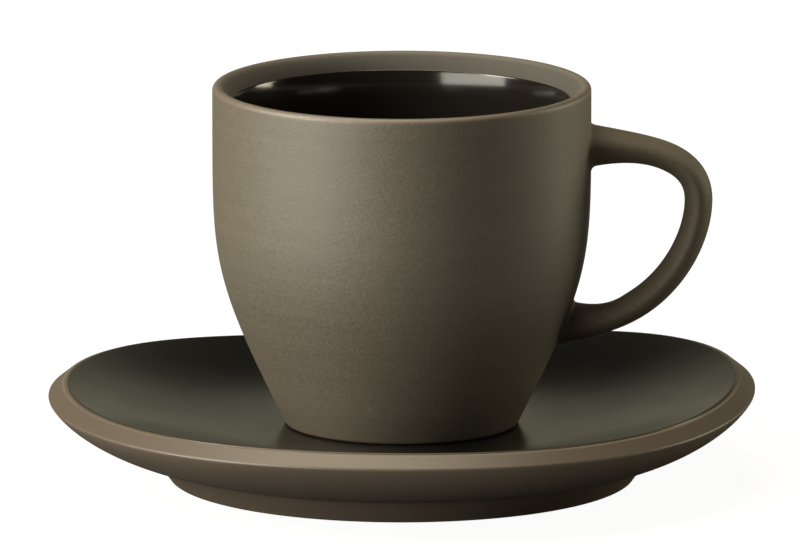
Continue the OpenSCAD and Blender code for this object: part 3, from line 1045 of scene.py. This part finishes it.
class ESPRESSO_OT_coat_saucer(bpy.types.Operator):
    """Coat the saucer's dish with satin glaze"""

    bl_idname = "espresso.coat_saucer"
    bl_label = "Coat the saucer"

    def execute(self, context):
        cup, saucer = context.scene.espresso_cup, context.scene.espresso_saucer
        crest = crest_radius(saucer)
        end = crest - saucer.coat_inset
        dish = dish_curve(cup, saucer)
        edge_run, fine_run = 0.7 * MM, 1.3 * MM
        coarse = dish[dish[:, 0] < end - fine_run, 0]
        to_edge = np.concatenate([coarse, end - fine_run * np.linspace(1, 0, 24) ** 2])
        clay = np.column_stack([to_edge, np.interp(to_edge, dish[:, 0], dish[:, 1])])
        thick = saucer.coat * quarter_round((end - to_edge) / edge_run)
        skin = clay + np.column_stack([np.zeros(len(clay)), thick])
        profile = chain(clay - [0, GLAZE_BITE], skin[::-1])
        rings = turned(profile, SAUCER_SIDES, wave_lift(profile, saucer.seat_d / 2, crest))
        piece = put_skin("saucer_coat", rings, {"edge": near(profile, clay[-1], reach=0.4 * MM)})
        finish = satin_glaze(context.scene.espresso_finishes)
        settle(piece, finish, "saucer", "satin_glaze", "saucer_glaze")
        return {"FINISHED"}


class ESPRESSO_OT_set_stage(bpy.types.Operator):
    """Set the floor, the lamps, the room and the camera"""

    bl_idname = "espresso.set_stage"
    bl_label = "Set the stage"

    def execute(self, context):
        scene, studio = context.scene, context.scene.espresso_studio
        scene.view_settings.view_transform = "Standard"

        level = np.zeros(len(FLOOR_RADII))
        points = turned(np.column_stack([FLOOR_RADII, level]), FLOOR_SIDES).reshape(-1, 3)
        faces = ring_faces(len(FLOOR_RADII), FLOOR_SIDES)[:, ::-1].tolist()
        floor = put_mesh("floor", points, faces + [list(range(FLOOR_SIDES))])
        floor.data.materials.append(floor_material(studio))

        for name, setting, *place in LAMPS:
            add_lamp(name, getattr(studio, setting), *place)
        scene.world = bpy.data.worlds.new("room")
        scene.world.use_nodes = True
        grey = opaque([studio.room] * 3)
        scene.world.node_tree.nodes["Background"].inputs["Color"].default_value = grey
        add_camera(studio)
        return {"FINISHED"}


STEPS = (
    ("throw_cup", ESPRESSO_OT_throw_cup),
    ("line_cup", ESPRESSO_OT_line_cup),
    ("pull_handle", ESPRESSO_OT_pull_handle),
    ("join_handle", ESPRESSO_OT_join_handle),
    ("throw_saucer", ESPRESSO_OT_throw_saucer),
    ("coat_saucer", ESPRESSO_OT_coat_saucer),
    ("set_stage", ESPRESSO_OT_set_stage),
)
SETTINGS = {
    "espresso_cup": CupSizes,
    "espresso_handle": HandleSizes,
    "espresso_saucer": SaucerSizes,
    "espresso_finishes": Finishes,
    "espresso_studio": Studio,
}


class ESPRESSO_PT_panel(bpy.types.Panel):
    """Sizes, colours and steps of the espresso set"""

    bl_idname = "ESPRESSO_PT_panel"
    bl_label = "Espresso cup and saucer"
    bl_space_type = "VIEW_3D"
    bl_region_type = "UI"
    bl_category = "Espresso"

    def draw(self, context):
        for key in SETTINGS:
            group = getattr(context.scene, key)
            box = self.layout.box()
            box.label(text=type(group).__doc__)
            for name in type(group).__annotations__:
                box.prop(group, name)
        for name, _ in STEPS:
            self.layout.operator(f"espresso.{name}")


CLASSES = (*SETTINGS.values(), *(step for _, step in STEPS), ESPRESSO_PT_panel)


def register():
    """Adds the classes and the scene's settings."""
    for one in CLASSES:
        bpy.utils.register_class(one)
    for key, kind in SETTINGS.items():
        setattr(bpy.types.Scene, key, PointerProperty(type=kind))


def unregister():
    """Takes the settings and the classes away again."""
    for key in SETTINGS:
        delattr(bpy.types.Scene, key)
    for one in reversed(CLASSES):
        bpy.utils.unregister_class(one)


def main():
    """Registers the classes and takes the steps in order."""
    register()
    for name, _ in STEPS:
        getattr(bpy.ops.espresso, name)()


if __name__ == "__main__":
    main()
